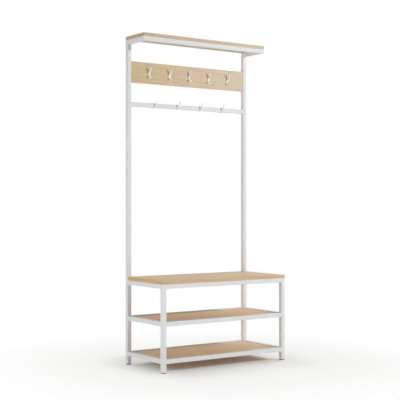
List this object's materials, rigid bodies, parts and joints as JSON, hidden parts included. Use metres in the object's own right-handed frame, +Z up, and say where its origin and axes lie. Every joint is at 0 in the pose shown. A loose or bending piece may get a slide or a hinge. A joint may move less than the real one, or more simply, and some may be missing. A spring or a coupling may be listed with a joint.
{
  "type": "hall tree",
  "caption": "Hall tree: white square-tube frame with a wooden bench, open shoe shelves below, an upper hat shelf, a wooden hook panel and a rail of sliding coat hooks.",
  "frame": {"origin": "on the floor, in the middle of the footprint", "axes": "+X to the right seen from the front, +Y to the back, +Z up"},
  "size_m": [0.8, 0.372, 1.76],
  "materials": {
    "white_powder_coat": "satin powder coat, white",
    "board_wood": "light oak, matt lacquer",
    "glide_plastic": "moulded, grey",
    "zinc_steel": "bright zinc"
  },
  "bodies": {
    "frame": {"arm_cap_left": "white_powder_coat", "arm_cap_right": "white_powder_coat", "bench_board": "board_wood", "bench_rail_front": "white_powder_coat", "bench_rail_left": "white_powder_coat", "bench_rail_rear": "white_powder_coat", "bench_rail_right": "white_powder_coat", "bench_screws": "zinc_steel", "bench_tabs": "white_powder_coat", "bottom_rail_front": "white_powder_coat", "bottom_rail_left": "white_powder_coat", "bottom_rail_rear": "white_powder_coat", "bottom_rail_right": "white_powder_coat", "bottom_shelf_board": "board_wood", "bottom_shelf_screws": "zinc_steel", "bottom_shelf_tabs": "white_powder_coat", "foot_glide_front_left": "glide_plastic", "foot_glide_front_right": "glide_plastic", "foot_glide_rear_left": "glide_plastic", "foot_glide_rear_right": "glide_plastic", "front_leg_left": "white_powder_coat", "front_leg_right": "white_powder_coat", "hook_panel": "board_wood", "hook_panel_screws": "zinc_steel", "hook_panel_tabs": "white_powder_coat", "hook_rail": "white_powder_coat", "hook_rail_stubs": "zinc_steel", "middle_rail_front": "white_powder_coat", "middle_rail_left": "white_powder_coat", "middle_rail_rear": "white_powder_coat", "middle_rail_right": "white_powder_coat", "middle_shelf_board": "board_wood", "middle_shelf_screws": "zinc_steel", "middle_shelf_tabs": "white_powder_coat", "panel_hook_1": "white_powder_coat", "panel_hook_2": "white_powder_coat", "panel_hook_3": "white_powder_coat", "panel_hook_4": "white_powder_coat", "panel_hook_5": "white_powder_coat", "panel_hook_screws": "zinc_steel", "rail_lock_screws": "zinc_steel", "rail_stubs": "zinc_steel", "rear_post_left": "white_powder_coat", "rear_post_right": "white_powder_coat", "top_arm_left": "white_powder_coat", "top_arm_right": "white_powder_coat", "top_rail_front": "white_powder_coat", "top_shelf_board": "board_wood", "top_shelf_screws": "zinc_steel", "top_shelf_tabs": "white_powder_coat"},
    "rail_hook_1": {"rail_hook_1": "white_powder_coat"},
    "rail_hook_2": {"rail_hook_2": "white_powder_coat"},
    "rail_hook_3": {"rail_hook_3": "white_powder_coat"},
    "rail_hook_4": {"rail_hook_4": "white_powder_coat"}
  },
  "joints": [
    {"name": "rail_hook_1_slide", "type": "slide", "parent": "frame", "child": "rail_hook_1", "axis": [1, 0, 0], "range_m": [-0.12, 0.065]},
    {"name": "rail_hook_2_slide", "type": "slide", "parent": "frame", "child": "rail_hook_2", "axis": [1, 0, 0], "range_m": [-0.065, 0.065]},
    {"name": "rail_hook_3_slide", "type": "slide", "parent": "frame", "child": "rail_hook_3", "axis": [1, 0, 0], "range_m": [-0.065, 0.065]},
    {"name": "rail_hook_4_slide", "type": "slide", "parent": "frame", "child": "rail_hook_4", "axis": [1, 0, 0], "range_m": [-0.065, 0.12]}
  ]
}
